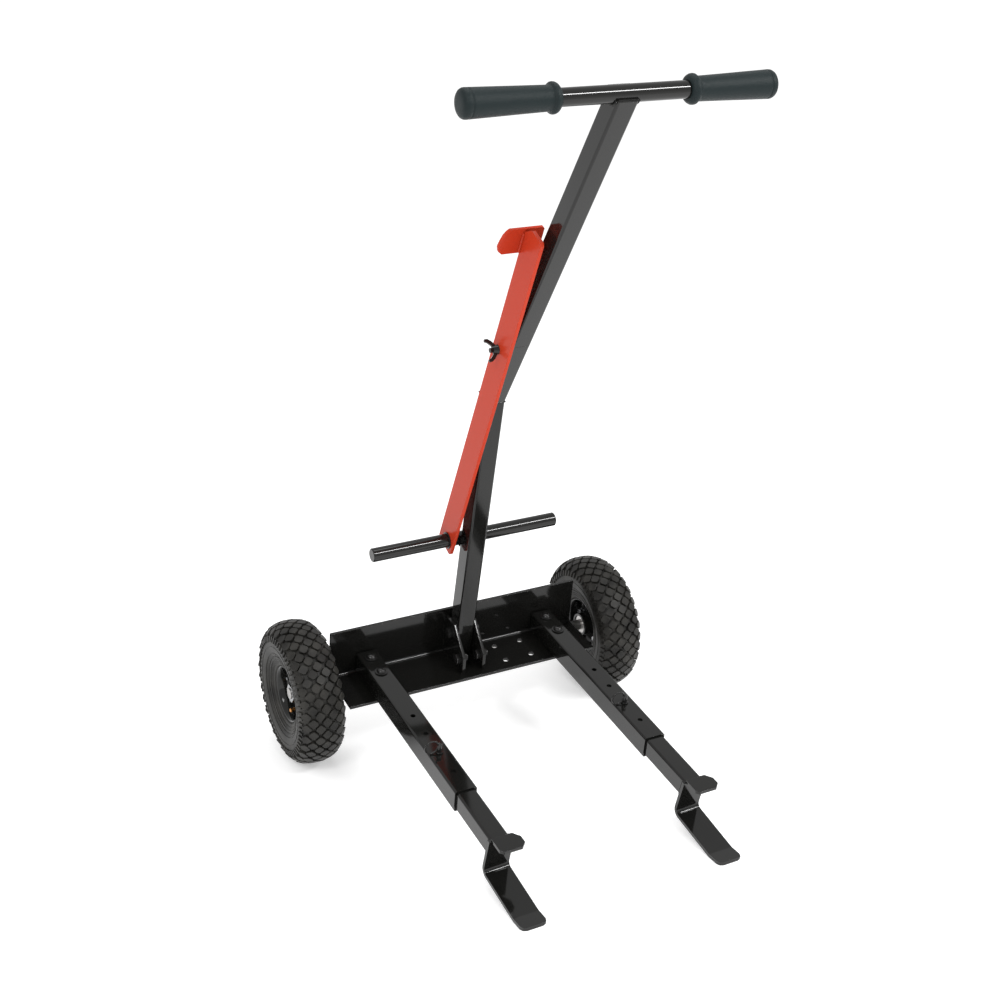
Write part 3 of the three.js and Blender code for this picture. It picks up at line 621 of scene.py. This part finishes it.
def make_hitch_pins():
    for name, side in SIDES.items():
        seat = FORK_TOP + 0.3
        pin = lathe([
            (FORK_TOP - 2.7, 0), (FORK_TOP - 2.7, 4.0), (seat, 4.0), (seat, 6.2), (seat + 0.4, 6.5),
            (seat + 1.7, 6.5), (seat + 2.1, 6.1), (seat + 2.1, 4.0), (seat + 15.5, 4.0),
            (seat + 16.8, 3.0), (seat + 17.3, 1.4), (seat + 17.4, 0),
        ], 32, "z")
        middle_x = 1 - PIN_RING_RADIUS - 4
        middle_z = seat + PIN_RING_RADIUS + PIN_RING_WIRE
        points = []
        for i in range(48):
            angle = math.tau * i / 48
            points.append((middle_x + PIN_RING_RADIUS * math.cos(angle), 0,
                           middle_z + PIN_RING_RADIUS * math.sin(angle)))
        ring = tube_along(points, PIN_RING_WIRE, 10, closed=True)
        verts, faces = moved(merged(pin, ring), Matrix.Translation((side * FORK_X, PIN_Y, 0)))
        piece(f"hitch_pin_look_{name}", verts, faces, FRAME, "black_steel", f"pin_{name}",
              stands_for=(f"hitch_pin_{name}",), angle=40)


# ---- welds ---------------------------------------------------------------------------------------
WELD = 2.4  # radii of the beads
FINE_WELD = 1.3
HANDLE_WELD_OFFSET = 14.4  # from the middle of the handlebar


def handle_welds():
    """Along both sides of the handlebar and under it, where the stem meets it."""
    y = POST_BEND[0] - HANDLE_DISTANCE * math.sin(UPPER_LEAN)
    z = POST_BEND[1] + HANDLE_DISTANCE * math.cos(UPPER_LEAN)
    beads = []
    for side in (-1, 1):
        dy = side * HANDLE_WELD_OFFSET * math.cos(UPPER_LEAN)
        dz = side * HANDLE_WELD_OFFSET * math.sin(UPPER_LEAN)
        beads.append(weld([(-POST_HALF, y + dy, z + dz), (POST_HALF, y + dy, z + dz)], 2.8))
        around = []
        for i in range(9):
            angle = UPPER_LEAN + math.pi * (1 + i / 8)
            around.append((side * 17.4, y + 13.6 * math.cos(angle), z + 13.6 * math.sin(angle)))
        beads.append(weld(around, WELD))
    return beads


def base_welds():
    """Across the front of the upright's foot, and along the gussets' outer sides."""
    beads = [weld([(-16, *POST_FRONT_FOOT), (16, *POST_FRONT_FOOT)], WELD)]
    for side in (-1, 1):
        x = side * (GUSSET_OUTSIDE + 0.6)
        beads.append(weld([(x, -82, BASE_TOP + 0.8), (x, -6, BASE_TOP + 0.8)], FINE_WELD))
        beads.append(weld([(x, -0.9, 24), (x, -0.9, 96)], FINE_WELD))
    return beads


def cross_bar_welds():
    """Above and below the cross bar, where it touches the upright."""
    beads = []
    for side in (-1, 1):
        y = PIVOT[0] - 10.4 - side * 8.2 * math.tan(LOWER_LEAN)
        z = PIVOT[1] + side * 8.2
        beads.append(weld([(-POST_HALF, y, z), (POST_HALF, y, z)], 2.9))
    return beads


def bend_weld():
    """A ground-down weld round the mitre of the upright."""
    lean = (LOWER_LEAN + UPPER_LEAN) / 2
    reach = (POST_HALF - 0.2) / math.cos(lean - LOWER_LEAN)
    corners = []
    for sx, sy in ((-1, -1), (1, -1), (1, 1), (-1, 1), (-1, -1)):
        y = POST_BEND[0] + sy * reach * math.cos(lean)
        z = POST_BEND[1] + sy * reach * math.sin(lean)
        corners.append((sx * (POST_HALF - 0.2), y, z))
    return [weld(corners, 1.0, ripple=0.08)]


def hook_welds(x):
    """Behind a hook's tab, and down both sides of its strap."""
    beads = [weld([(x - 16, -533.2, 54.8), (x + 16, -533.2, 54.8)], 2.0)]
    for side in (-1, 1):
        edge = x + side * 17.2
        beads.append(weld([(edge, -527.2, 52), (edge, -522.6, 21)], 1.9))
    return beads


def make_welds():
    verts, faces = merged(*handle_welds(), *base_welds(), *cross_bar_welds(), *bend_weld())
    piece("frame_welds", verts, faces, FRAME, "black_paint", "chassis", angle=60)
    for name, side in SIDES.items():
        verts, faces = merged(*hook_welds(side * FORK_X))
        piece(f"hook_welds_{name}", verts, faces, FRAME, "black_paint", f"fork_{name}", angle=60)
    outer, inner = LEG_FACES
    beads = [weld([(x, 29.2, 626.5), (x, 29.2, 662)], 2.6) for x in (outer - 0.8, inner + 0.8)]
    verts, faces = merged(*beads)
    piece("leg_welds", verts, faces, LEG, "red_paint", "leg", angle=60)


# ---- floor, light and camera ---------------------------------------------------------------------
def make_studio():
    world = bpy.data.worlds.new("studio")
    bpy.context.scene.world = world
    world.use_nodes = True
    background = world.node_tree.nodes["Background"]
    background.inputs["Color"].default_value = (1.0, 1.0, 1.0, 1.0)
    background.inputs["Strength"].default_value = SKY_STRENGTH

    mesh = bpy.data.meshes.new("floor")
    corners = [(x * FLOOR_REACH, y * FLOOR_REACH, 0) for x, y in ((-1, -1), (1, -1), (1, 1), (-1, 1))]
    mesh.from_pydata(corners, [], [(0, 1, 2, 3)])
    floor = bpy.data.objects.new("floor", mesh)
    bpy.context.scene.collection.objects.link(floor)
    floor.location.z = -FLOOR_DROP
    pale = principled("pale_floor", (0.9, 0.9, 0.9), 0.9, specular=0.0)
    pale_shader = pale.node_tree.nodes["Principled BSDF"]
    pale_shader.inputs["Emission Color"].default_value = (1.0, 1.0, 1.0, 1.0)
    pale_shader.inputs["Emission Strength"].default_value = FLOOR_GLOW
    mesh.materials.append(pale)

    for name, place, size, power in LIGHTS:
        light = bpy.data.lights.new(name, "AREA")
        light.shape = "RECTANGLE"
        light.size, light.size_y = size
        light.energy = power
        obj = bpy.data.objects.new(name, light)
        bpy.context.scene.collection.objects.link(obj)
        obj.location = place
        aim = Vector(LIGHT_TARGET) - Vector(place)
        obj.rotation_euler = aim.to_track_quat("-Z", "Y").to_euler()


def make_camera():
    data = bpy.data.cameras.new("camera")
    data.lens = CAMERA_LENS
    data.sensor_width = CAMERA_SENSOR
    data.clip_end = 100.0
    camera = bpy.data.objects.new("camera", data)
    bpy.context.scene.collection.objects.link(camera)
    azimuth, pitch, roll = CAMERA_AZIMUTH, CAMERA_PITCH, CAMERA_ROLL
    level = math.cos(pitch)
    back = Vector((math.sin(azimuth) * level, -math.cos(azimuth) * level, math.sin(pitch)))
    right = Vector((math.cos(azimuth), math.sin(azimuth), 0))
    up = back.cross(right)
    turned_right = right * math.cos(roll) + up * math.sin(roll)
    turned_up = up * math.cos(roll) - right * math.sin(roll)
    basis = Matrix((turned_right, turned_up, back)).transposed().to_4x4()
    camera.matrix_world = Matrix.Translation(AXLE + Vector(CAMERA_FROM_AXLE)) @ basis
    bpy.context.scene.camera = camera


make_camera()
make_studio()
bpy.context.scene.view_settings.view_transform = "Standard"
dress_cad_nodes()
make_wheels()
make_bar("cross_bar", 1.5)
make_bar("handlebar", 0.5)
make_grips()
make_fork_bolts()
make_hitch_pins()
make_welds()
